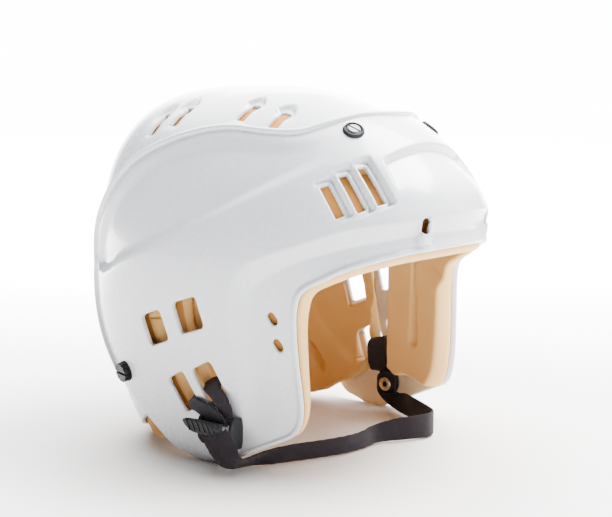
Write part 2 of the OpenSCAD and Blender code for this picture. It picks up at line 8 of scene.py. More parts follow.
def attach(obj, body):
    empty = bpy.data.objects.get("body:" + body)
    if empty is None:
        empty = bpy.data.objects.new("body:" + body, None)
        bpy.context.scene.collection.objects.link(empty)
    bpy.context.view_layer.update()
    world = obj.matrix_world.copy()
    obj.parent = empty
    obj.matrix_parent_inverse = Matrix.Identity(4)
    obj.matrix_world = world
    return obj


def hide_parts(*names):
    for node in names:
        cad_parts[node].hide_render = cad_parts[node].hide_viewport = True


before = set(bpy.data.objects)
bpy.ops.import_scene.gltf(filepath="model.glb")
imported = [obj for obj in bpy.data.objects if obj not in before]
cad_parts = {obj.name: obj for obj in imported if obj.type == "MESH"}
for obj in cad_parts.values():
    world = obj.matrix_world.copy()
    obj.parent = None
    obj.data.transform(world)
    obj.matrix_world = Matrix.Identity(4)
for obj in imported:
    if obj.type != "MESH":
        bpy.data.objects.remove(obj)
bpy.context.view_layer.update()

# Every size is in millimetres, as in the part's source, and becomes metres in the mesh
MM = 0.001


def add_object(name, data):
    obj = bpy.data.objects.new(name, data)
    bpy.context.collection.objects.link(obj)
    return obj


# Camera at the photograph's angle

AZIMUTH, ELEVATION = math.radians(-52.32), math.radians(7.26)
DISTANCE, LENS, SENSOR = 750, 69.6, 36
TARGET = Vector((4.2, -5.5, 111.0))
# Level direction in which the camera looks
AHEAD = (-math.sin(AZIMUTH), math.cos(AZIMUTH), 0.0)


def camera():
    level = -math.cos(ELEVATION)
    back = Vector((AHEAD[0] * level, AHEAD[1] * level, math.sin(ELEVATION)))
    data = bpy.data.cameras.new("camera")
    data.lens, data.sensor_width, data.clip_start = LENS, SENSOR, 0.01
    obj = add_object("camera", data)
    obj.location = (TARGET + back * DISTANCE) * MM
    obj.rotation_euler = back.to_track_quat("Z", "Y").to_euler()
    bpy.context.scene.camera = obj


camera()


# Shader maths

class Paint:
    """A new material, or the world: its node tree, and sockets that add their own Math nodes."""

    def __init__(self, name, kind="materials", shader="Principled BSDF", **sockets):
        self.block = getattr(bpy.data, kind).new(name)
        self.block.use_nodes = True
        self.tree = self.block.node_tree
        self.shader = self.tree.nodes[shader]
        self.set(**sockets)

    def set(self, **sockets):
        for name, value in sockets.items():
            self.plug(self.shader.inputs[name.replace("_", " ")], value)

    def plug(self, socket, value):
        """Links a socket or sets its value. A colour is given without its alpha."""
        if isinstance(value, Socket):
            self.tree.links.new(value.socket, socket)
        else:
            socket.default_value = (*value, 1) if socket.type == "RGBA" else value

    def node(self, kind, settings=None, out=0, **inputs):
        """Any node: its type, its settings, which are set first, and the values or links of its sockets."""
        made = self.tree.nodes.new("ShaderNode" + kind)
        for name, value in (settings or {}).items():
            setattr(made, name, value)
        for name, value in inputs.items():
            key = int(name[1:]) if name[0] == "i" and name[1:].isdigit() else name.replace("_", " ")
            self.plug(made.inputs[key], value)
        return Socket(self, made.outputs[out])

    def place(self, scale, squash=(1, 1, 1)):
        """Object coordinates in patches of scale millimetres."""
        at = self.node("TexCoord", out="Object")
        size = tuple(1 / (scale * MM) / s for s in squash)
        return self.node("Mapping", Vector=at, Scale=size)

    def noise(self, scale, detail, rough=0.5, squash=(1, 1, 1)):
        return self.node("TexNoise", Vector=self.place(scale, squash), Scale=1.0, Detail=detail, Roughness=rough)

    def mix(self, share, a, b):
        return self.node("Mix", {"data_type": "RGBA"}, out=2, i0=share, i6=a, i7=b)

    def rise(self, value, low, high, shape="SMOOTHSTEP"):
        """0 to 1 as the value grows from low to high."""
        return self.node("MapRange", {"interpolation_type": shape}, Value=value, From_Min=low, From_Max=high)

    def bump(self, height, depth):
        """depth in millimetres for a height of 1."""
        return self.node("Bump", Height=height, Distance=depth * MM, Strength=1.0)


class Socket:
    """A node's output. Adding, multiplying and so on adds a Math node."""

    def __init__(self, paint, socket):
        self.paint, self.socket = paint, socket

    def math(self, operation, *others):
        values = {f"i{k}": value for k, value in enumerate((self,) + others)}
        return self.paint.node("Math", {"operation": operation}, **values)

    def __add__(self, other):
        return self.math("ADD", other)

    def __sub__(self, other):
        return self.math("SUBTRACT", other)

    def __mul__(self, other):
        return self.math("MULTIPLY", other)

    __radd__, __rmul__ = __add__, __mul__


def shell_plastic():
    """Gloss white moulded plastic with faint moulding ripple and fine scuffs."""
    p = Paint("gloss_white_shell", IOR=1.5, Coat_Weight=0.35, Coat_Roughness=0.12)
    cloud = p.noise(60, 2)
    scuff = p.noise(2.4, 5, 0.7, squash=(3, 1, 1))
    p.set(Base_Color=p.mix(cloud, (0.58, 0.585, 0.607), (0.61, 0.615, 0.634)),
          Roughness=0.24 + 0.1 * (scuff - 0.5) + 0.06 * cloud,
          Normal=p.bump(p.noise(22, 1), 0.05))
    return p.block


def foam(name, low, high):
    """Closed cell foam: matt, with a fine cell grain and slight colour drift."""
    p = Paint(name, Specular_IOR_Level=0.25)
    drift = p.noise(35, 2)
    cells = p.node("TexVoronoi", Vector=p.place(0.9), Scale=1.0)
    grain = p.noise(0.5, 3)
    p.set(Base_Color=p.mix(drift, low, high),
          Roughness=0.62 + 0.14 * grain,
          Normal=p.bump(cells * 0.5 + grain * 0.5, 0.05))
    return p.block


# Millimetres from thread to thread, along a strap and across it
WEAVE = 1.5, 1.3


def webbing(name, tint):
    """Woven strap: two sets of slanting threads over and under each other, read from the strap's own UV."""
    p = Paint(name, Specular_IOR_Level=0.12, Sheen_Weight=0.08, Sheen_Roughness=0.5)
    at = p.node("UVMap", {"uv_map": "strap"})
    x = p.node("SeparateXYZ", Vector=at)
    y = Socket(p, x.socket.node.outputs[1])
    x, y = x * (2 * math.pi / WEAVE[0]), y * (2 * math.pi / WEAVE[1])
    weave = (x + y).math("SINE").math("MAXIMUM", (x - y).math("SINE"))
    fuzz = p.noise(0.35, 3, 0.6)
    lit = (weave * 0.5 + 0.5) * 0.7 + fuzz * 0.5
    dark = tuple(c * 0.35 for c in tint)
    p.set(Base_Color=p.mix(p.node("Clamp", Value=lit), dark, tint),
          Roughness=0.75 + 0.15 * fuzz,
          Normal=p.bump(weave * 0.5 + fuzz * 0.3, 0.22))
    return p.block


def black_plastic(name, rough=0.38):
    """Satin black moulding with a fine spark-eroded grain."""
    p = Paint(name, Specular_IOR_Level=0.22)
    grain = p.noise(0.6, 3)
    drift = p.noise(8, 2)
    p.set(Base_Color=p.mix(drift, (0.004, 0.004, 0.005), (0.009, 0.009, 0.010)),
          Roughness=rough + 0.12 * grain,
          Normal=p.bump(grain, 0.03))
    return p.block


def metal(name, low, high, rough, brushed=(1, 1, 1), wear=None):
    """Bare metal with fine streaks, and patches of another colour where it is worn."""
    p = Paint(name, Metallic=1.0)
    streak = p.noise(1.2, 4, 0.6, squash=brushed)
    patina = p.noise(3.0, 3, 0.6)
    colour = p.mix(streak, low, high)
    if wear:
        colour = p.mix(p.rise(patina, 0.45, 0.62, "LINEAR"), colour, wear)
    p.set(Base_Color=colour, Roughness=rough + 0.18 * (streak - 0.5) + 0.1 * patina,
          Normal=p.bump(streak, 0.015))
    return p.block


WHITE = shell_plastic()
FOAM = foam("tan_foam", (0.70, 0.42, 0.15), (0.77, 0.49, 0.20))
LINING = foam("pale_foam_sheet", (0.80, 0.65, 0.46), (0.86, 0.72, 0.54))
REAR_FOAM = foam("rear_tan_foam", (0.58, 0.32, 0.095), (0.66, 0.39, 0.14))
# Painted shade: the skin of the foam that faces the shells is coloured a darker, deeper tan, for the shade it lies
# in where it shows through their slots
SHADED_FOAM_BACK = foam("deep_tan_foam", (0.42, 0.17, 0.025), (0.50, 0.22, 0.045))
WEBBING = webbing("black_webbing", (0.020, 0.015, 0.019))
THREAD = black_plastic("black_thread", 0.75)
BLACK = black_plastic("satin_black")
CUP_BLACK = black_plastic("black_cup", 0.55)
DULL_ZINC = metal("dull_zinc", (0.40, 0.40, 0.41), (0.58, 0.58, 0.59), 0.42)
DARK_ZINC = metal("dark_zinc", (0.10, 0.10, 0.11), (0.22, 0.22, 0.23), 0.42, (1, 4, 1))
BRASS = metal("worn_brass", (0.46, 0.36, 0.18), (0.66, 0.55, 0.33), 0.3, wear=(0.28, 0.24, 0.17))


# Skin of the helmet: the same rule as in the part's source

HALF_W, REACH_FRONT, REACH_REAR = 106.0, 151.0, 110.0
WAIST_Z, DOME_H, MID_Y, LEAN = 112.0, 112.0, 19.0, 0.05
SQUASH_BOTTOM, TUCK_REAR = 0.82, 0.6
P_WAIST, P_FLOOR = 2.17, 2.5
Q_FRONT, Q_SIDE, Q_REAR = 2.2, 2.05, 3.1


def skin(om, v, off=0.0):
    """Points of the skin at the angles om and v in degrees, moved out by off."""
    om, v, off = np.broadcast_arrays(np.asarray(om, float), np.asarray(v, float), np.asarray(off, float))
    z0 = WAIST_Z + np.minimum(v, 0) * WAIST_Z / 90
    low = np.clip((WAIST_Z - z0) / WAIST_Z, 0, 1)
    half = (HALF_W + off) * (1 - (1 - SQUASH_BOTTOM) * low**2)
    fore = (REACH_FRONT + off) * (1 - 0.02 * low**2)
    aft = (REACH_REAR + off) * (1 - (1 - TUCK_REAR) * low**2.2)
    p = P_WAIST + (P_FLOOR - P_WAIST) * low
    turn = np.radians(om)
    front = np.cos(turn) > 0
    ex, ey = np.abs(np.sin(turn)) ** (2 / p), np.abs(np.cos(turn)) ** (2 / p)
    k = ex**2 / (ex**2 + ey**2)
    q = np.where(front, Q_FRONT + (Q_SIDE - Q_FRONT) * k, Q_REAR + (Q_SIDE - Q_REAR) * k)
    rise = np.radians(np.clip(v, 0, 90))
    ce, se = np.abs(np.cos(rise)) ** (2 / q), np.sin(rise) ** (2 / q)
    up = (DOME_H + off) * se
    return np.stack([np.sign(om) * half * ex * ce,
                     MID_Y + LEAN * up - np.where(front, fore, -aft) * ey * ce, z0 + up], -1)


def unit(v):
    return v / np.linalg.norm(v, axis=-1, keepdims=True)


def outward(om, v):
    """Outward normal of the skin."""
    a = skin(om + 0.5, v) - skin(om - 0.5, v)
    b = skin(om, v + 0.5) - skin(om, v - 0.5)
    n = unit(np.cross(b, a))
    c = skin(om, v) - np.array([0, MID_Y, WAIST_Z - 20])
    return n * np.sign((n * c).sum(-1, keepdims=True))


def ease(x):
    t = np.clip(x, 0, 1)
    return t * t * (3 - 2 * t)


def curve(points, s):
    """A list read at fractional places, smoothly, as in the part's source."""
    points = np.asarray(points, float)
    s = np.asarray(s, float)
    i = np.minimum(np.floor(s).astype(int), len(points) - 2)
    t = (s - i).reshape(s.shape + (1,) * (points.ndim - 1))
    a, b, c, d = (points[np.clip(i + k, 0, len(points) - 1)] for k in (-1, 0, 1, 2))
    return 0.5 * (2 * b + (c - a) * t + (2 * a - 5 * b + 4 * c - d) * t**2 + (3 * b - a - 3 * c + d) * t**3)


def box_field(a, b, w, h, r):
    """Distance in millimetres from a rounded w by h hole centred at a, b = 0."""
    qa, qb = np.abs(a) - (w / 2 - r), np.abs(b) - (h / 2 - r)
    return np.hypot(np.maximum(qa, 0), np.maximum(qb, 0)) + np.minimum(np.maximum(qa, qb), 0) - r


def inside(field, width):
    """1 inside a hole's field, falling to 0 over width around its edge."""
    return ease(0.5 - field / width)


# Moulded walls with rounded rims

def mesh_object(name, points, faces, material, uv=None, back=None):
    """A smooth-shaded object at the origin, its place in its mesh. Points are in millimetres. back is a second
    material and which faces have it."""
    data = bpy.data.meshes.new(name)
    points = np.asarray(points, float) * MM
    faces = np.asarray(faces, int)
    data.vertices.add(len(points))
    data.vertices.foreach_set("co", points.astype(np.float32).ravel())
    data.loops.add(faces.size)
    data.loops.foreach_set("vertex_index", faces.astype(np.int32).ravel())
    data.polygons.add(len(faces))
    data.polygons.foreach_set("loop_start", (np.arange(len(faces)) * faces.shape[1]).astype(np.int32))
    data.polygons.foreach_set("use_smooth", np.ones(len(faces), bool))
    if uv is not None:
        layer = data.uv_layers.new(name="strap")
        layer.data.foreach_set("uv", np.asarray(uv, np.float32)[faces.ravel()].ravel())
    data.materials.append(material)
    if back:
        data.materials.append(back[0])
        data.polygons.foreach_set("material_index", np.asarray(back[1], np.int32))
    data.update()
    data.validate()
    return add_object(name, data)


def grid_triangles(rows, cols, closed):
    """Triangles of a grid of points, split the same way on both sides of the helmet."""
    i, j = np.meshgrid(np.arange(rows - 1), np.arange(cols if closed else cols - 1), indexing="ij")
    k = (j + 1) % cols
    a, b, c, d = i * cols + j, i * cols + k, (i + 1) * cols + k, (i + 1) * cols + j
    left = j < cols / 2
    one = np.where(left[..., None], np.stack([a, b, c], -1), np.stack([a, b, d], -1))
    two = np.where(left[..., None], np.stack([a, c, d], -1), np.stack([b, c, d], -1))
    return np.concatenate([one.reshape(-1, 3), two.reshape(-1, 3)])


def clip(triangles, field, *layers):
    """Keeps what lies where field is over 0. Each layer is an array with a row for each vertex."""
    inner = field > 0
    count = inner[triangles].sum(1)
    # Those with one corner kept, and those with one corner lost, turned so that it comes first
    one, two = (np.take_along_axis(some, ((inner[some] == kept).argmax(1)[:, None] + np.arange(3)) % 3, 1)
                for some, kept in ((triangles[count == 1], True), (triangles[count == 2], False)))
    ends = np.concatenate([one[:, [0, 1]], one[:, [0, 2]], two[:, [0, 1]], two[:, [0, 2]]])
    unique, cuts = np.unique(np.sort(ends, 1), axis=0, return_inverse=True)
    fa, fb = field[unique].T
    t = (fa / (fa - fb))[:, None]
    made = [np.concatenate([layer, layer[unique[:, 0]] * (1 - t) + layer[unique[:, 1]] * t]) for layer in layers]
    ab1, ac1, ab2, ac2 = np.split(cuts.ravel() + len(field), np.cumsum([len(one), len(one), len(two)]))
    triangles = np.concatenate([triangles[count == 3], np.stack([one[:, 0], ab1, ac1], 1),
                                np.stack([ab2, two[:, 1], two[:, 2]], 1), np.stack([ab2, two[:, 2], ac2], 1)])
    used, index = np.unique(triangles, return_inverse=True)
    return [index.reshape(-1, 3)] + [layer[used] for layer in made]


def moulding(name, material, outer, inner, field, rim, bowl=False, square=0.6, steps=6, back=None):
    """A wall between two grids of points, with holes where field is below 0, and rims rounded rim wide.
    A bowl goes all the way round and closes in a point. back is the material of its outer face."""
    rows, cols = outer.shape[:2]
    out, inn, f = outer.reshape(-1, 3), inner.reshape(-1, 3), field.ravel() - rim
    triangles = grid_triangles(rows, cols, bowl)
    if bowl:
        top = np.arange((rows - 1) * cols, rows * cols)
        triangles = np.concatenate([triangles, np.stack([top, np.roll(top, -1), np.full(cols, len(out))], 1)])
        out = np.vstack([out, outer[-1].mean(0)])
        inn = np.vstack([inn, inner[-1].mean(0)])
        f = np.append(f, 9.0)
    triangles, out, inn = clip(triangles, f, out, inn)
    # Turned over as a whole where they face inwards
    a, b, c = (out[triangles[:, k]] for k in range(3))
    facing = (np.cross(b - a, c - a) * (a - inn[triangles[:, 0]])).sum()
    if facing < 0:
        triangles = triangles[:, ::-1]
    n = len(out)
    edges = np.concatenate([triangles[:, [0, 1]], triangles[:, [1, 2]], triangles[:, [2, 0]]])
    keys, reverse = edges[:, 0] * n + edges[:, 1], edges[:, 1] * n + edges[:, 0]
    border = edges[~np.isin(keys, reverse)]
    across = out - inn
    side = np.cross(out[border[:, 1]] - out[border[:, 0]], across[border[:, 0]])
    away = np.zeros_like(out)
    for end in (0, 1):
        np.add.at(away, border[:, end], side)
    for _ in range(3):
        spread = np.zeros_like(away)
        np.add.at(spread, border[:, 0], away[border[:, 1]])
        np.add.at(spread, border[:, 1], away[border[:, 0]])
        away = away + 0.5 * spread
    rim_points = np.unique(border)
    slot = np.full(n, -1)
    slot[rim_points] = np.arange(len(rim_points))
    reach = away[rim_points]
    reach = reach / (np.linalg.norm(reach, axis=1, keepdims=True) + 1e-12) * rim
    middle, half = (out[rim_points] + inn[rim_points]) / 2, across[rim_points] / 2
    rings = []
    for k in range(1, steps):
        a = math.pi * k / steps
        rings.append(middle + half * math.copysign(abs(math.cos(a)) ** square, math.cos(a))
                     + reach * math.sin(a) ** square)
    points = np.vstack([out, inn] + rings)
    ends = [border] + [2 * n + k * len(rim_points) + slot[border] for k in range(steps - 1)] + [border + n]
    band = []
    for near, far in zip(ends, ends[1:]):
        (a0, b0), (a1, b1) = near.T, far.T
        band += [np.stack([b0, a0, a1], 1), np.stack([b0, a1, b1], 1)]
    faces = np.concatenate([triangles, triangles[:, ::-1] + n] + band)
    outside = np.arange(len(faces)) < len(triangles)
    return mesh_object(name, points, faces, material, back=back and (back, outside))


# Front shell

# Lines over the shell: edge, foot of the step, top of the step, middle, seam; then their share of the step
STATIONS = [
    [[0, 7.3], [0, 12], [0, 16.5], [0, 34], [0, 52.5]],
    [[13, 7], [13, 11.8], [13, 16.3], [13, 34], [13, 52.5]],
    [[26, 6], [26, 11], [26, 15.3], [25, 33], [24, 51.8]],
    [[40, 3.2], [41, 9], [41, 13.6], [40, 31], [38, 48.7]],
    [[49, -0.3], [53, 5.8], [53, 10], [51, 27], [50, 45.5]],
    [[54, -5], [62, 1.6], [63.5, 6], [62, 26], [60, 45.8]],
    [[55.8, -13], [66.5, -4], [70, 1], [74, 24], [75, 47.7]],
    [[56.3, -24], [67.4, -15], [72, -11], [82, 18], [88, 45]],
    [[56.3, -38], [68, -33], [72.3, -30], [92, 8], [104, 36.5]],
    [[56.2, -52], [68.2, -48], [72.5, -46], [100, -6], [113.5, 26]],
    [[56.8, -62], [68.6, -58], [72.6, -59], [104, -20], [121, 15]],
    [[59.5, -69.5], [69.6, -66], [73, -67.5], [105, -34], [129, 2]],
    [[65, -74], [72, -72], [76, -72], [104, -46], [130.5, -14]],
    [[70.5, -78.5], [75, -77], [79, -76], [102, -54], [128, -28]],
    [[76, -84], [80, -82], [84, -80], [102, -62], [122, -41]],
    [[82.7, -90], [88, -90], [93, -84.5], [103.5, -70], [112.5, -56]]]
SHARES = [1.6, 1.55, 1.35, 1.1, 1, 1, 1, 1, 1, 1, 1, 0.7, 0.2, 0, 0, 0]
SHELL_T, RIM = 3.0, 1.3
# Depths of the panel, the flat above the brow and the dish above the crease, and heights of the lips
PANEL_DEPTH, FLAT_DEPTH, DISH_DEPTH = 4.8, 4.2, 3.2
FACE_LIP, SEAM_LIP = 1.5, 2.2


def chart(s, t):
    """Both chart angles for columns s and row values t, which broadcast together."""
    s, t = np.broadcast_arrays(np.abs(s), t)
    lines = curve(STATIONS, s)
    i = np.clip(np.floor(t).astype(int), 0, 3)
    low, high = (np.take_along_axis(lines, (i + k)[..., None, None], -2)[..., 0, :] for k in (0, 1))
    return np.moveaxis(low + (high - low) * (t - i)[..., None], -1, 0)


def uneven(stops):
    """Columns from pairs of a station and how many columns lead to it."""
    stations, counts = np.transpose(stops)
    ends = np.cumsum(counts)
    return np.interp(np.arange(ends[-1] + 1), ends, stations)


def side_chart(s, first, last, middle):
    """Row values for each column: fixed distances from both edges, and even steps between them. Also the rows'
    distances from the face edge, and the columns' whole lengths."""
    fine = np.linspace(0, 4, 241)
    line = skin(*chart(s[None, :], fine[:, None]))
    length = np.vstack([np.zeros(len(s)), np.cumsum(np.linalg.norm(np.diff(line, axis=0), axis=2), 0)])
    total = length[-1]
    away = np.vstack([np.outer(first, np.ones(len(s))), np.linspace(first[-1], total - last[-1], middle + 2)[1:-1],
                      total - np.array(last)[::-1, None]])
    return np.stack([np.interp(a, b, fine) for a, b in zip(away.T, length.T)], 1), away, total


# Chart place, width, height, lean and how much wider each is cut to the rear
WINDOWS = [[90.4, -26.2, 13.5, 18.5, 20, 3.0], [82.2, -18.1, 14.5, 18.5, 18, 3.2],
           [85.7, -55.4, 9.5, 22, 28, 4.4], [79.2, -48.6, 12.5, 21, 26, 3.4]]
WINDOW_R = 2.5
# Chart place and length
VENTS = [[44.5, 21.8, 20.5], [38.4, 24.1, 24], [31.9, 26.2, 25]]
VENT_W, VENT_R = 5.8, 0.7
VENT_DIRECTION = (0, -0.55, -0.84)
# Chart places, then length, width and corner radius
TEMPLE = [[62.1, -17.0], [61.2, -28.9]]
TEMPLE_SLOT = 7.8, 4.4, 2.1
BROW = [17.5, 13.8]
BROW_SLOT = 9, 6, 2.6
# Chart places along the crease of the side
CREASE = np.array([[36.5, 34.5], [45.1, 31.4], [52.7, 28.1], [63.7, 22.7], [75.2, 16.3],
                   [84.1, 11.5], [91.7, 6.7], [101.2, 2.8], [111.4, -0.8], [118, -4]])


def window_field(p, window, grow=0.0):
    om, v, width, height, lean, wider = window
    at, lean = skin(om, v), math.radians(lean)
    y, z = p[..., 1] - at[1] - wider / 2, p[..., 2] - at[2]
    return box_field(y * math.cos(lean) - z * math.sin(lean), y * math.sin(lean) + z * math.cos(lean),
                     width + wider + grow, height + grow, WINDOW_R)


def spot(p, om, v, direction, side):
    """Places of points along and across a spot on the skin. Across grows towards the middle of the helmet."""
    n = outward(side * om, v)
    x = np.array(direction, float)
    x -= n * (n @ x)
    x /= np.linalg.norm(x)
    y = np.cross(n, x)
    rel = p - skin(side * om, v)
    near = np.abs(rel @ n) < 14
    return np.where(near, rel @ x, 99), np.where(near, (rel @ y) * -side * np.sign(y[0]), 99)


def vents(p, side):
    """For each vent of a side: its length, the places of points along and across it, and its slot's field."""
    for om, v, length in VENTS:
        along, across = spot(p, om, v, VENT_DIRECTION, side)
        yield length, along, across, box_field(along, across, length, VENT_W, VENT_R)


def lips(d_face, d_seam):
    """1 on the raised lip of the face edge and on that of the seam, 0 away from them."""
    return 1 - ease((d_face - 2.5) / 1.2), 1 - ease((d_seam - 2.3) / 1.4)


def front_relief(s, t, om, v, p, d_face, d_seam):
    """How far the front shell's outer face lies from the skin."""
    a = np.abs(om)
    # Panel, with a slope of rounded foot and top between it and the rest, and a pad round each brow slot
    x, soft = t - 1, 0.05
    slope = (np.sqrt(x**2 + soft**2) - np.sqrt((x - 1) ** 2 + soft**2) + 1) / 2
    share = np.maximum(curve(SHARES, np.abs(s)), 0)
    pad = inside(np.abs(a - BROW[0]) - 2.2, 1.1)
    off = -PANEL_DEPTH * share * (1 - slope) * (1 - (0.2 + 0.5 * ease(d_face / 13)) * pad)
    # Flat above the brow, cut deepest under its curved upper edge
    top = 39.5 - 4.6 * (a / 24) ** 2
    off -= FLAT_DEPTH * ease((v - 20) / 17) * ease((top - v) / 2.3) * ease((25.5 - a) / 2.4)
    # Dish above the side crease, inside a raised border along the seam
    line = np.interp(a, CREASE[:, 0], CREASE[:, 1])
    ledge = 2.8 + 2.6 * ease((111 - a) / 55)
    off -= DISH_DEPTH * ease((v - line) / ledge) * ease((a - 34) / 34) * ease((d_seam - 7) / 10)
    # Raised lips along both edges, lower over the brow
    at_face, at_seam = lips(d_face, d_seam)
    off += (FACE_LIP - 0.9 * ease((30 - a) / 12)) * at_face + SEAM_LIP * at_seam
    # Recessed frames of the vents: steep towards the middle of the helmet, with a rim round each slot
    for side in (-1, 1):
        for length, along, across, slot in vents(p, side):
            border = box_field(along + 0.9, across - 0.9, length + 6.6, VENT_W + 5.4, 1.6)
            deep = 2.3 + 0.28 * np.clip(across, -4, 6)
            off -= (deep - 1.1 * (1 - ease((slot - 1.2) / 1.3))) * inside(border, 2.0)
    return off


def front_holes(p):
    """Field of all holes of the front shell."""
    fields = [window_field(p, window) for window in WINDOWS]
    for side in (-1, 1):
        down = skin(side * 63, -14.5) - skin(side * 61.3, -19.6)
        fields += [box_field(*spot(p, *place, down, side), *TEMPLE_SLOT) for place in TEMPLE]
        fields += [slot for *_, slot in vents(p, side)]
        fields.append(box_field(*spot(p, *BROW, (0, 0, -1), side), *BROW_SLOT))
    return np.minimum.reduce(fields)


def front_shell():
    half = uneven([(0, 0), (2, 24), (4.6, 66), (5.5, 10), (8, 30), (12, 46), (14.8, 14)])
    s = np.concatenate([-half[:0:-1], half])
    t, d_face, total = side_chart(s, [RIM, 1.9, 2.5, 3.1, 3.8, 5], [RIM, 1.9, 2.5, 3.0, 3.5, 4.5], 92)
    om, v = chart(s[None, :], t)
    om = np.where(s == 0, 1e-6, om * np.where(s < 0, -1, 1))
    p = skin(om, v)
    d_seam = total - d_face
    off = front_relief(s[None, :], t, om, v, p, d_face, d_seam)
    at_face, at_seam = lips(d_face, d_seam)
    thick = SHELL_T + 1.3 * at_face + 2.0 * at_seam
    return moulding("front_shell_moulding", WHITE, skin(om, v, off), skin(om, v, off - thick), front_holes(p), RIM)


# Rear shell

REAR_EDGE = [[0, 40.5], [12, 40.5], [24, 40], [38, 37.5], [50, 36.5], [60, 37], [75, 38.5], [85, 37], [92, 31],
             [96, 22], [99, 10], [101, -5], [102, -20], [102.6, -35], [103.2, -50], [104, -63], [106.5, -73.5],
             [112, -77], [120, -81], [130, -84.5], [142, -87.5], [156, -90], [168, -90], [180, -90]]
# How far its faces lie from the skin, and how much further under the front shell
REAR_OFF, REAR_IN, JOGGLE = -4.0, -7.0, 4.0
# Slots of the crown: place along the helmet, and ends across it
CROWN = [[-47.5, 43, 59], [-24, 43, 59], [23.5, 50, 66], [38.5, 55, 70]]
CROWN_SLOT_W, SCOOP_DEPTH = 6.6, 2.4


def bowl_chart(edge, cols, t):
    """Chart places of a bowl that runs from an edge line to the crown, for columns all the way round."""
    n = len(edge)
    k = np.linspace(0, n - 1, cols)
    k = np.concatenate([k, k[-2:0:-1]])
    side = np.concatenate([np.ones(cols), -np.ones(cols - 2)])
    line = np.stack([np.interp(k, np.arange(n), np.array(edge)[:, a]) for a in (0, 1)], -1)
    u = (1 - (1 - np.asarray(t)) ** 1.15)[:, None]
    ring = 180 * k / (n - 1)
    om = side * np.maximum(line[:, 0] + (ring - line[:, 0]) * u, 1e-6)
    v = line[:, 1] + (89.6 - line[:, 1]) * u
    return om, v


def rear_shell():
    t = np.concatenate([[0.006, 0.01, 0.014, 0.019, 0.026, 0.035], np.linspace(0.05, 0.28, 22),
                        np.linspace(0.29, 0.72, 60), np.linspace(0.74, 0.995, 16)])
    om, v = bowl_chart(REAR_EDGE, 190, t)
    p = skin(om, v, REAR_OFF)
    joggle = -JOGGLE * np.clip((70 - v) / 28, 0, 1) * np.maximum(0, np.cos(np.radians(om))) * (v > 0)
    off, field = np.zeros_like(om), np.full_like(om, 99.0)
    high = p[..., 2] > WAIST_Z + 40
    for place, near, far in CROWN:
        for side in (-1, 1):
            x, y = side * p[..., 0], p[..., 1] - MID_Y - place
            slot = box_field(x - (near + far) / 2, y, far - near, CROWN_SLOT_W, 1.2)
            field = np.where(high, np.minimum(field, slot), field)
            # Three-cornered scoop that starts in a point nearer the middle and deepens to the slot
            into = np.clip((x - (near - 9)) / 9, 0, 1)
            fade = 1 - 0.85 * ease((x - near) / (0.6 * (far - near)))
            scoop = inside(np.abs(y) - 0.8 - (CROWN_SLOT_W / 2 + 1.6) * into, 2.4) * ease((far + 3 - x) / 2)
            off -= np.where(high & (x > 0), SCOOP_DEPTH * ease(into * 1.2) * fade * scoop, 0)
    return moulding("rear_shell_moulding", WHITE, skin(om, v, REAR_OFF + joggle + off),
                    skin(om, v, REAR_IN + joggle + off), field, 1.2, bowl=True)


# Foam liners

# Row value at which the front foam ends, at the stations
FOAM_END = [3, 3, 2.95, 2.95, 2.95, 2.95, 2.4, 2.3, 2.19, 2.13, 2.11, 2.08]
FOAM_EDGE = [[0, 54], [13, 53.5], [27, 52.5], [40, 51], [52, 48.5], [62, 45], [69, 38], [75, 26], [80.4, 12],
             [84.4, 0], [86.2, -12], [86, -25], [84.4, -40], [83.2, -52], [83, -62], [85, -69], [90, -77.2],
             [97, -82.6], [106, -85], [117, -85.8], [130, -86.6], [147, -87.6], [164, -88], [180, -88]]
# How far the faces of the foam lie from the skin
FOAM_REAR_OUT, FOAM_REAR_IN = -8.3, -18.3
FOAM_FRONT_OUT, FOAM_FRONT_IN, FOAM_STEP = -3.9, -14.9, -15.4
# How far the front edge of the foam stands out past the shell's, at the stations
PROUD = [3.6, 3.6, 3.8, 4.2, 5.5, 7.0, 7.0, 6.0, 4.6, 3.0, 1.6, 0.3]
GROOVE_DEPTH, POCKET_DEPTH, LEDGE = 5.0, 3.0, 2.6
# Chart place of the side screws, place of the top screws, and the way the rear half slides
SIDE = [108, -51.5]
TOP = [40.3, -73.6, 193]
SLIDE = (0, -0.966, -0.259)


def foam_front_offsets(s, t, om, v, tem):
    """How far both faces of the front foam lie from the skin. tem is 1 on the temple pads."""
    under = PANEL_DEPTH * np.maximum(0, curve(SHARES, np.abs(s))) * (t < 2.2)
    flat = -2.0 * ease((46 - np.abs(om)) / 14) * ease((v - 18) / 5) * ease((36 - v) / 8)
    out = FOAM_FRONT_OUT - under + 2.6 * flat
    cut = np.where(t > 1.01, FOAM_STEP, FOAM_FRONT_OUT)
    out = out + (np.minimum(out, cut) - out) * tem
    return out, FOAM_FRONT_IN - (PANEL_DEPTH * 0.6 + (7 - PANEL_DEPTH * 0.6) * tem)


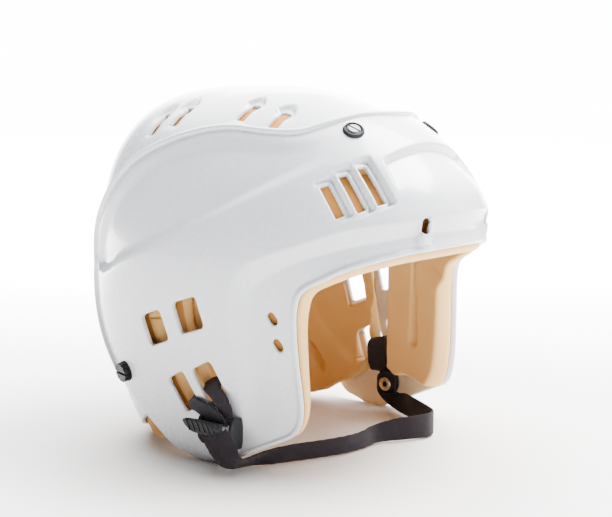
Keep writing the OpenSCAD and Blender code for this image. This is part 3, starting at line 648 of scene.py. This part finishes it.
def front_liner():
    steps = 150
    j = np.arange(-steps, steps + 1)
    s = 11 * np.abs(j) / steps
    tem = ease((s - 5.6) / 0.8)
    t1 = 1.5 + (1.06 - 1.5) * tem
    e = curve(FOAM_END, s)
    reach = np.linalg.norm(skin(*chart(s, np.ones_like(s))) - skin(*chart(s, np.zeros_like(s))), axis=-1)
    sheets = []
    for proud in (np.full_like(s, 0.6), curve(PROUD, s)):
        start = -proud / reach
        knots = np.stack([start, 0.65 + 0.35 * start, np.ones_like(s), t1, t1 + (2.06 - t1) * 0.5,
                          np.maximum(2.06, t1 + (e - t1) * 0.5), e])
        u = np.linspace(0, 6, 73)
        i = np.minimum(np.floor(u).astype(int), 5)
        t = knots[i] + (knots[i + 1] - knots[i]) * (u - i)[:, None]
        om, v = chart(s[None, :], t)
        om = np.maximum(om, 1e-6) * np.where(j < 0, -1, 1)
        knot_out, inn = foam_front_offsets(s[None, :], knots, *chart(s[None, :], knots), tem)
        out = knot_out[i] + (knot_out[i + 1] - knot_out[i]) * (u - i)[:, None]
        # Long drain groove down each temple pad, drawn out to a point at its upper end
        fall = np.clip((v + 50) / 44, 0, 1)
        groove = box_field((np.abs(om) - 65.4) * 1.75, (v + 28) * 1.24, 1, 53, 0.4) - 2.4 * (1 - 0.85 * fall)
        inn = inn + GROOVE_DEPTH * (1 - 0.5 * fall) * inside(groove, 1.6)
        sheets.append(skin(om, v, inn if sheets else out))
    # The face towards the shell takes the foam coloured darker as painted shade
    return moulding("front_foam", FOAM, *sheets, np.full_like(om, 99.0), 2.4, square=0.8, steps=8, back=SHADED_FOAM_BACK)


def rear_liner():
    t = np.concatenate([[0.0, 0.006, 0.013, 0.022], np.linspace(0.034, 0.62, 84), np.linspace(0.64, 0.995, 22)])
    om, v = bowl_chart(FOAM_EDGE, 170, t)
    p = skin(om, v, FOAM_REAR_OUT)
    slant, field = np.zeros_like(om), np.full_like(om, 99.0)
    for window in (WINDOWS[0], WINDOWS[2]):
        f = window_field(p, window, 1.0)
        field = np.minimum(field, f)
        slant = np.maximum(slant, 1 - ease((f - 5) / 14))
    a = np.abs(om)
    # Thicker below a line that dips at the side and climbs to the rear, and an oval pocket in it
    line = -64.8 + np.where(a > 87.4, 1.31 * (a - 87.4), 1.14 * (87.4 - a))
    inn = FOAM_REAR_IN - LEDGE * ease((line - v) / 2.2) * ease((130 - a) / 12)
    x, y = (a - 104.3) * 1.8, (v + 66.5) * 1.24
    pocket = box_field(0.72 * x + 0.69 * y, 0.69 * x - 0.72 * y, 25, 9, 4.4)
    inn = inn + POCKET_DEPTH * inside(pocket, 1.8)
    inner = skin(om, v, inn)
    # The windows run slantwise through the foam, their inner mouths further forward
    inner[..., 1] -= 8 * slant * ease((t - 0.02) / 0.12)[:, None]
    # Pockets as long as the slide for the side nuts and the top nuts
    out = np.full_like(om, FOAM_REAR_OUT)
    for side in (-1, 1):
        along, across = spot(p, *SIDE, SLIDE, side)
        out = np.minimum(out, FOAM_REAR_OUT - 3.2 * inside(box_field(along + 4, across, 29, 21, 8), 1.5))
    along = (p[..., 1] - TOP[1]) * SLIDE[1] + (p[..., 2] - TOP[2]) * SLIDE[2]
    top = box_field(along + 4, np.abs(p[..., 0]) - TOP[0], 28, 20, 8) + 99.0 * (p[..., 2] < 120)
    out = out - 1.6 * inside(top, 1.5)
    # The face towards the shell takes the foam coloured darker as painted shade
    return moulding("rear_foam", REAR_FOAM, skin(om, v, out), inner, field, 1.8, True, 0.8, back=SHADED_FOAM_BACK)


# Height of the lining inside the shell's side flaps, and the place of its front edge
LINING_TOP, LINING_FRONT = 46, -56


def lined(shell):
    """The shell with a thin foam sheet's colour on the inside of its side flaps."""
    data = shell.data
    data.materials.append(LINING)
    n = len(data.polygons)
    centre, normal = np.empty(n * 3), np.empty(n * 3)
    data.polygons.foreach_get("center", centre)
    data.polygons.foreach_get("normal", normal)
    x, y, z = centre.reshape(n, 3).T / MM
    inward = normal[::3] * np.sign(x) < -0.55
    data.polygons.foreach_set("material_index", (inward & (z < LINING_TOP) & (y > LINING_FRONT)).astype(np.int32))
    data.update()
    return shell


def stand_in(obj, body, *nodes):
    """The object takes the place of CAD nodes and rides on their body."""
    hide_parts(*nodes)
    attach(obj, body)
    return obj


stand_in(lined(front_shell()), "front_half", "front_shell")
stand_in(rear_shell(), "rear_half", "rear_shell")
stand_in(front_liner(), "front_half", "front_liner")
stand_in(rear_liner(), "rear_half", "rear_liner")


# Repeated small pieces

def slab(outline, low, high, axis, bevel):
    """Points and faces of a flat piece: an outline drawn out along an axis, with bevelled edges."""
    ring = np.asarray(outline, float)
    ahead = np.roll(ring, -1, 0) - np.roll(ring, 1, 0)
    out = unit(np.stack([ahead[:, 1], -ahead[:, 0]], 1))
    area = (ring[:, 0] * np.roll(ring[:, 1], -1) - ring[:, 1] * np.roll(ring[:, 0], -1)).sum()
    out *= np.sign(area)
    n = len(ring)
    rings = []
    for inset, at in ((1, low), (0.3, low + 0.3 * bevel), (0, low + bevel), (0, high - bevel),
                      (0.3, high - 0.3 * bevel), (1, high)):
        rings.append(np.insert(ring - out * inset * bevel, axis, at, axis=1))
    points = np.concatenate(rings + [[rings[0].mean(0)], [rings[-1].mean(0)]])
    i = np.arange(n)
    j = (i + 1) % n
    ends = [np.stack([np.full(n, 6 * n), j, i], 1), np.stack([5 * n + i, 5 * n + j, np.full(n, 6 * n + 1)], 1)]
    return points, outwards(points, np.concatenate([tube(6, n)] + ends))


def tube(rows, cols, ring=False):
    """Triangles of a grid of points whose columns go round, and with ring its rows too."""
    i, k = (a.ravel() for a in np.meshgrid(np.arange(rows if ring else rows - 1), np.arange(cols), indexing="ij"))
    here, there, after = i * cols, (i + 1) % rows * cols, (k + 1) % cols
    return np.concatenate([np.stack([here + k, here + after, there + after], 1),
                           np.stack([here + k, there + after, there + k], 1)])


def outwards(points, faces):
    """The faces, all turned over if they look inwards."""
    a, b, c = (points[faces[:, k]] for k in range(3))
    return faces if (a * np.cross(b, c)).sum() > 0 else faces[:, ::-1]


def circle(a, b, radius, sides):
    turn = np.linspace(0, 2 * math.pi, sides, endpoint=False)
    return np.stack([a + radius * np.cos(turn), b + radius * np.sin(turn)], 1)


def round_bar(start, end, radius):
    """A round bar along y."""
    return slab(circle(start[0], start[2], radius, 20), start[1], end, 1, 0.3)


def turned(profile, at):
    """Points and faces of a ring turned round an axis along x: (radius, x) profile, closed."""
    profile, sides = np.array(profile), 40
    turn = np.linspace(0, 2 * math.pi, sides, endpoint=False)[:, None]
    points = np.stack([profile[:, 1] + 0 * turn, profile[:, 0] * np.cos(turn), profile[:, 0] * np.sin(turn)], -1)
    points = points.reshape(-1, 3)
    return points + at, outwards(points, tube(sides, len(profile), ring=True))


def rounded(outline, parts=6):
    """A closed outline drawn smoothly through its points."""
    ring = np.asarray(outline, float)
    n = len(ring)
    wide = np.concatenate([ring[-2:], ring, ring[:3]])
    return curve(wide, np.linspace(2, n + 2, n * parts + 1)[:-1])


def joined(*pieces):
    """One set of points and faces from several."""
    points, faces = zip(*pieces)
    counts = np.cumsum([0] + [len(some) for some in points])
    return np.concatenate(points), np.concatenate([some + count for some, count in zip(faces, counts)])


def scatter_tree():
    """Geometry nodes that set a piece on each point, turned by its attribute, and make them one plain mesh."""
    tree = bpy.data.node_groups.new("scatter", "GeometryNodeTree")
    for name, kind in (("Points", "Geometry"), ("Piece", "Object"), ("Finish", "Material"),
                       ("Unevenness", "Float"), ("Mesh", "Geometry")):
        way = "OUTPUT" if name == "Mesh" else "INPUT"
        tree.interface.new_socket(name, in_out=way, socket_type="NodeSocket" + kind)

    def node(kind, **settings):
        made = tree.nodes.new(kind)
        for key, value in settings.items():
            setattr(made, key, value)
        return made

    given, result = node("NodeGroupInput"), node("NodeGroupOutput")
    to_points = node("GeometryNodeMeshToPoints")
    piece = node("GeometryNodeObjectInfo")
    turn = node("GeometryNodeInputNamedAttribute", data_type="FLOAT_VECTOR")
    turn.inputs["Name"].default_value = "turn"
    size = node("FunctionNodeRandomValue", data_type="FLOAT")
    size.inputs["Seed"].default_value = 7
    less, more = node("ShaderNodeMath", operation="SUBTRACT"), node("ShaderNodeMath", operation="ADD")
    less.inputs[0].default_value = more.inputs[0].default_value = 1
    place, plain, finish = (node("GeometryNode" + kind) for kind in
                            ("InstanceOnPoints", "RealizeInstances", "SetMaterial"))
    least, most, random_size = (
        next(s for s in sockets if s.name == name and s.type == "VALUE")
        for sockets, name in ((size.inputs, "Min"), (size.inputs, "Max"), (size.outputs, "Value")))
    for start, end in ((given.outputs[0], to_points.inputs["Mesh"]), (given.outputs[1], piece.inputs["Object"]),
                       (given.outputs[3], less.inputs[1]), (given.outputs[3], more.inputs[1]),
                       (less.outputs[0], least), (more.outputs[0], most),
                       (to_points.outputs["Points"], place.inputs["Points"]),
                       (piece.outputs["Geometry"], place.inputs["Instance"]),
                       (turn.outputs["Attribute"], place.inputs["Rotation"]), (random_size, place.inputs["Scale"]),
                       (place.outputs[0], plain.inputs[0]), (plain.outputs[0], finish.inputs["Geometry"]),
                       (given.outputs[2], finish.inputs["Material"]), (finish.outputs[0], result.inputs[0])):
        tree.links.new(start, end)
    return tree


SCATTER = scatter_tree()


def scatter(name, piece, finish, places, turns, uneven_by=0.06):
    """A plain mesh of copies of a piece at places in millimetres, each with its own 3 x 3 turn."""
    data = bpy.data.meshes.new(name + "_points")
    data.from_pydata((np.array(places) * MM).tolist(), [], [])
    angles = [Matrix(np.asarray(turn).tolist()).to_euler() for turn in turns]
    data.attributes.new("turn", "FLOAT_VECTOR", "POINT").data.foreach_set("vector", np.array(angles).ravel())
    holder = add_object(name + "_points", data)
    modifier = holder.modifiers.new("scatter", "NODES")
    modifier.node_group = SCATTER
    values = {"Piece": piece, "Finish": finish, "Unevenness": uneven_by}
    for item in SCATTER.interface.items_tree:
        if item.name in values:
            modifier[item.identifier] = values[item.name]
    bpy.context.view_layer.update()
    ready = holder.evaluated_get(bpy.context.evaluated_depsgraph_get())
    made = bpy.data.meshes.new_from_object(ready)
    made.name = name
    bpy.data.objects.remove(holder)
    return add_object(name, made)


def stitch_rows(path, lift, rows, offsets, across):
    """Places and turns of stitches on a ribbon: rows by place along it, offsets across it."""
    mid, run, wide, flat = path
    made = []
    for k in rows:
        for offset in offsets:
            along, beside = (wide[k], -run[k]) if across else (run[k], wide[k])
            made.append((mid[k] + wide[k] * offset + flat[k] * lift, np.stack([along, beside, flat[k]], 1)))
    return made


# Webbing

def ribbon(name, edge_a, edge_b, thick=1.3):
    """A flat woven strap between two edge lines, its edges rounded, its UV in millimetres. Returns it and its
    path, in 8 steps from point to point: middles, and directions along, across and out of it."""
    last = len(edge_a) - 1
    a, b = (curve(edge, np.linspace(0, last, last * 8 + 1)) for edge in (edge_a, edge_b))
    mid = (a + b) / 2
    run = unit(np.gradient(mid, axis=0))
    wide = b - a
    width = np.linalg.norm(wide, axis=1, keepdims=True)
    wide = wide / width
    flat = unit(np.cross(wide, run))
    r = thick / 2
    line, turn = np.linspace(-1, 1, 10), np.linspace(-math.pi / 2, math.pi / 2, 7)[1:-1]
    # Each place: share of the half width, then how far out and up on the rounded edge
    profile = np.array([(x, 0.0, 1.0) for x in line] + [(1.0, math.cos(k), -math.sin(k)) for k in turn]
                       + [(x, 0.0, -1.0) for x in line[::-1]] + [(-1.0, -math.cos(k), math.sin(k)) for k in turn])
    side = profile[:, 0] * (width / 2 - r) + profile[:, 1] * r
    # Selvedge threads make the edges a little uneven
    length = np.concatenate([[0], np.cumsum(np.linalg.norm(np.diff(mid, axis=0), axis=1))])
    side = side + 0.10 * np.sin(length[:, None] * 4.1) * profile[:, 1]
    points = mid[:, None] + side[..., None] * wide[:, None] + profile[None, :, 2, None] * r * flat[:, None]
    n, m = points.shape[:2]
    fan = np.arange(1, m - 1)
    first = np.stack([np.zeros_like(fan), fan + 1, fan], 1)
    last = np.stack([np.zeros_like(fan), fan, fan + 1], 1) + (n - 1) * m
    uv = np.stack([np.repeat(length, m), side.ravel()], 1)
    made = mesh_object(name, points.reshape(-1, 3), np.concatenate([tube(n, m), first, last]), WEBBING, uv)
    return made, (mid, run, wide, flat)


# Edges of the chin strap, from under the buckle's lever round over the floor to the press stud
CHIN_LOW = [[-107.2, -14.6, 28.4], [-107.8, -15.6, 25.4], [-107.9, -18.4, 21], [-106.8, -21.2, 15.5],
            [-104, -23.2, 9.4], [-99, -24.6, 4.2], [-92, -26, 1.4], [-80, -30, 1], [-70, -38.5, 1],
            [-57, -45.5, 1], [-43, -52.5, 1], [-28, -58.5, 1], [-12, -61.5, 1], [2, -61.5, 1], [13, -66.5, 1],
            [24, -74.5, 1], [34, -79, 1], [43, -77, 1], [50, -69.5, 1], [57, -59.5, 1], [64, -48.5, 1],
            [71, -36.5, 1], [76, -27.5, 1.5], [77.5, -20.5, 4], [75.2, -16, 9], [73, -14.2, 14],
            [73, -14, 19.5], [73, -14.3, 24.5], [73, -17.5, 27.4]]
CHIN_UP = [[-103.6, -31, 30], [-103.2, -32.2, 27.6], [-101.8, -35, 24], [-100.4, -37, 18.6], [-98.4, -37.6, 13],
           [-94.6, -37.2, 9.6], [-88.6, -36.6, 9], [-77, -38.5, 10.4], [-67, -42.5, 11.5], [-54.5, -48.5, 12],
           [-41, -55, 12], [-27, -60, 12], [-12, -60.5, 11.5], [3, -59, 12], [14, -66, 14.5], [24, -74.5, 15.8],
           [34, -79, 16], [43, -77, 16], [50, -69.5, 16], [57, -59.5, 16], [64, -48.5, 16], [71.8, -38.5, 15.3],
           [74.3, -33.2, 14.4], [75, -30.9, 13.9], [74.2, -29.7, 14.3], [73, -29.2, 15], [73, -29, 20],
           [73, -28.7, 24.5], [73, -25.5, 27.4]]
# Right loop: in at one lower window, behind the bar between the two, out of the other, down to the buckle
LOOP_RISE = [[[-98.6, -27.6, 30], [-98.4, -33.4, 33]], [[-99.4, -25.2, 35], [-99, -32.7, 39]],
             [[-100, -22, 38.8], [-99.4, -30.7, 43]], [[-99.6, -17.4, 42.8], [-99, -28, 46.8]],
             [[-97.4, -11, 45.6], [-97, -23, 49.6]], [[-90, -4.6, 47.6], [-89, -17, 52]],
             [[-82, -1, 48], [-81, -13.4, 52.6]]]
LOOP_FALL = [[[-84, 9, 38], [-83, 1, 43]], [[-91, 6, 36], [-91, -1.4, 41]],
             [[-97.6, 1.4, 34.8], [-99.6, -6.2, 41.2]], [[-100.4, -6.6, 33.4], [-101.8, -17.4, 39.8]],
             [[-101.4, -13.4, 31.2], [-102.2, -25.6, 37]], [[-101.4, -16.4, 28], [-102, -29.8, 33]],
             [[-100.8, -17.4, 24.5], [-101, -31.2, 29]]]
# Left loop: a band over the bar, hanging inside the foam and folded at its lower end; then the tab under it
LOOP_LEFT = [[[94.5, -1, 41], [92.5, -15.5, 46.5]], [[90, -1.6, 45], [88, -17, 50]],
             [[84, -2, 46.6], [83, -18, 50.6]], [[79, -2.4, 45.6], [78.5, -18.6, 49.2]],
             [[77.2, -2.8, 42], [77, -19, 44.5]], [[76.6, -3.6, 35], [76.4, -19.6, 36]],
             [[76.6, -4.8, 29.6], [76.4, -20.2, 29.8]], [[78.2, -5.2, 26.6], [78.2, -20.4, 27]],
             [[80.4, -5, 28.6], [80.4, -20.2, 29.2]], [[81, -4.6, 34], [81, -19.8, 35]]]
TAB = [[[79.6, -9, 32], [79.6, -22.5, 33.5]], [[78.4, -11.6, 27.5], [78.4, -25.5, 28.5]],
       [[77.4, -13.6, 23], [77.4, -28.5, 23.5]], [[77.3, -14, 18], [77.3, -28.7, 18]],
       [[77.3, -15.5, 14], [77.3, -27.2, 14]], [[77.3, -18.5, 12], [77.3, -24.5, 12]]]


def webbing_pieces():
    chin, chin_path = ribbon("chin_strap_webbing", CHIN_LOW, CHIN_UP, 1.4)
    middle = chin_path[0]
    stand_in(chin, "front_half", "chin_strap")
    length = np.linalg.norm(np.diff(middle, axis=0), axis=1).sum()
    middle[0] * MM
    (middle * MM).tolist()
    stand_in(ribbon("right_loop_rise", *zip(*LOOP_RISE))[0], "front_half", "right_strap_loop")
    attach(ribbon("right_loop_fall", *zip(*LOOP_FALL))[0], "front_half")
    band, band_path = ribbon("left_loop_band", *zip(*LOOP_LEFT))
    stand_in(band, "front_half", "left_strap_loop")
    stand_in(ribbon("left_tab_webbing", *zip(*TAB))[0], "front_half", "left_strap_tab")
    # Bar tacks: rows of thread across the strap's ends and along the loop's fold
    stitch = [[-0.75, -0.2], [0.75, -0.2], [0.75, 0.2], [-0.75, 0.2]]
    thread = mesh_object("thread_stitch", *slab(stitch, -0.12, 0.2, 2, 0.08), THREAD)
    buckle_end, stud_end, spread = [4, 6, 8], [198, 200, 202], np.linspace(-6, 6, 7)
    rows = (stitch_rows(chin_path, 0.7, buckle_end + stud_end, spread, True)
            + stitch_rows(chin_path, -0.7, stud_end, spread, True)
            + stitch_rows(band_path, 0.65, [44, 46, 48, 50, 52], [-6.5, 6.5], False))
    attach(scatter("strap_stitches", thread, THREAD, *zip(*rows)), "front_half")
    bpy.data.objects.remove(thread)


webbing_pieces()


# Buckle

def buckle_pieces():
    cheek = rounded([[-91.5, 30.5], [-94.5, 33], [-98.6, 33.2], [-101.2, 30.6], [-102, 26], [-101.6, 20.6],
                     [-99, 16.6], [-95.4, 15], [-92, 16.4]])
    frame_mesh = joined(slab(cheek, -34.8, -32.6, 1, 0.7), slab(cheek - [2.5, 0], -13, -11, 1, 0.6),
                        round_bar((-99.4, -33.8, 30.6), -12, 1.5), round_bar((-98.4, -33.8, 18), -12, 1.5))
    stand_in(mesh_object("buckle_cheeks_and_bars", *frame_mesh, BLACK), "front_half", "buckle_frame")
    # Cam lever: an eye round the pin and a wing to press, its rear end drawn out to a blunt point
    wing = rounded([[-4.8, 30.6], [-7.5, 31.8], [-14, 32.2], [-22, 32], [-28, 31], [-31.8, 29.4], [-31.6, 26.8],
                    [-27, 25.2], [-20, 24.2], [-13, 24.4], [-8.4, 26.4], [-5.6, 28.8]])
    lever = joined(slab(wing, -110.1, -108.0, 0, 0.8), round_bar((-105.6, -31.2, 28.43), -12.8, 2.5))
    stand_in(mesh_object("buckle_lever_wing", *lever, BLACK), "buckle_lever", "buckle_lever")
    outline = rounded([[-3.4, 0], [-3, 0.55], [3, 0.55], [3.4, 0], [3, -0.55], [-3, -0.55]], 3)
    rib = mesh_object("grip_rib", *slab(outline, -0.5, 0.5, 2, 0.35), BLACK)
    lean = math.radians(62)
    x, z = np.array([0, -math.cos(lean), -math.sin(lean)]), np.array([-1.0, 0, 0])
    turn = np.stack([x, np.cross(z, x), z], 1)
    places = [(-110.1, -9.4 - 3.8 * k, 28.6 + 0.25 * k - 0.09 * k * k) for k in range(6)]
    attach(scatter("lever_grip_ribs", rib, BLACK, places, [turn] * 6, 0.02), "buckle_lever")
    bpy.data.objects.remove(rib)


buckle_pieces()

# Eyelet of the press stud: a rolled brass ring round a dark socket
STUD = (73, -21.5, 19.5)
ring = turned([[1.9, -2.2], [2.2, -2.6], [3.2, -2.8], [4.2, -2.5], [4.6, -1.9], [4.5, -1.7], [1.9, -1.7]], STUD)
stand_in(mesh_object("snap_eyelet_ring", *ring, BRASS), "snap_half", "snap_eyelet")
disc = circle(*STUD[1:], 1.85, 24)
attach(mesh_object("snap_eyelet_well", *slab(disc, 71, 72.2, 0, 0.2), CUP_BLACK), "snap_half")


# CAD nodes that show as they are

FINISHES = {"buckle_pin": DARK_ZINC, "snap_cap": CUP_BLACK, "snap_socket": BRASS, "snap_stud": BRASS}
for side in ("_left", "_right"):
    for place, screw in (("top", DARK_ZINC), ("side", BLACK)):
        FINISHES.update({place + "_screw" + side: screw, place + "_washer" + side: CUP_BLACK,
                         place + "_nut" + side: DULL_ZINC})
for node, finish in FINISHES.items():
    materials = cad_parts[node].data.materials
    materials.clear()
    materials.append(finish)


# Floor and light

FLOOR = 6
# Power of the key light, strength of the glow far behind the helmet, and of the dim room
KEY, GLOW, ROOM = 30, 14.0, 0.04
# Lit parts of the room: direction, cosines where each starts and is full, strength
SKY = [((0.5, 0.2, 0.843), 0.62, 0.95, 16.0), (AHEAD, 0.80, 0.93, 16.0), ((0.4, -0.87, 0.3), 0.6, 0.97, 4.0)]


def floor():
    """White paper with painted shade and a painted warm bounce, coloured darker and warmer near the helmet, and
    glowing far behind the helmet as a bright sweep.
    """
    data = bpy.data.meshes.new("floor")
    data.from_pydata([(-FLOOR, -FLOOR, 0), (FLOOR, -FLOOR, 0), (FLOOR, FLOOR, 0), (-FLOOR, FLOOR, 0)], [],
                     [(0, 1, 2, 3)])
    p = Paint("white_paper", Roughness=0.9, Specular_IOR_Level=0.2)
    at = p.node("TexCoord", out="Object")
    far = p.node("VectorMath", {"operation": "LENGTH"}, out="Value", Vector=at)
    behind = p.node("VectorMath", {"operation": "DOT_PRODUCT"}, out="Value", i0=at, i1=AHEAD)
    # Painted shade and painted warm bounce: the paper is coloured darker and warmer within about 0.4 m of the
    # helmet; far behind the helmet it glows
    p.set(Base_Color=p.mix(p.rise(far, 0.08, 0.42), (0.70, 0.655, 0.615), (0.96, 0.96, 0.96)),
          Emission_Color=p.mix(p.rise(behind, 0.1, 1.0), (0, 0, 0), (1, 1, 1)), Emission_Strength=GLOW)
    data.materials.append(p.block)
    add_object("floor", data)


def key_light():
    """Soft panel above the wearer's left front, on the right in the picture."""
    data = bpy.data.lights.new("key_panel", "AREA")
    data.size, data.energy = 0.45, KEY
    obj = add_object("key_panel", data)
    obj.location = Vector((0.35, -0.25, 0.85))
    obj.rotation_euler = (obj.location - Vector((0, -0.02, 0.15))).to_track_quat("Z", "Y").to_euler()


def studio_world():
    """Dim room lit from the ceiling, from a sweep behind the helmet and, less, from its front."""
    p = Paint("studio", "worlds", "Background", Color=(0.95, 0.97, 1.0))
    view = p.node("TexCoord", out="Generated")
    total = ROOM
    for direction, low, high, strength in SKY:
        facing = p.node("VectorMath", {"operation": "DOT_PRODUCT"}, out="Value", i0=view, i1=direction)
        total = p.rise(facing, low, high) * strength + total
    p.set(Strength=total)
    bpy.context.scene.world = p.block


floor()
studio_world()
key_light()
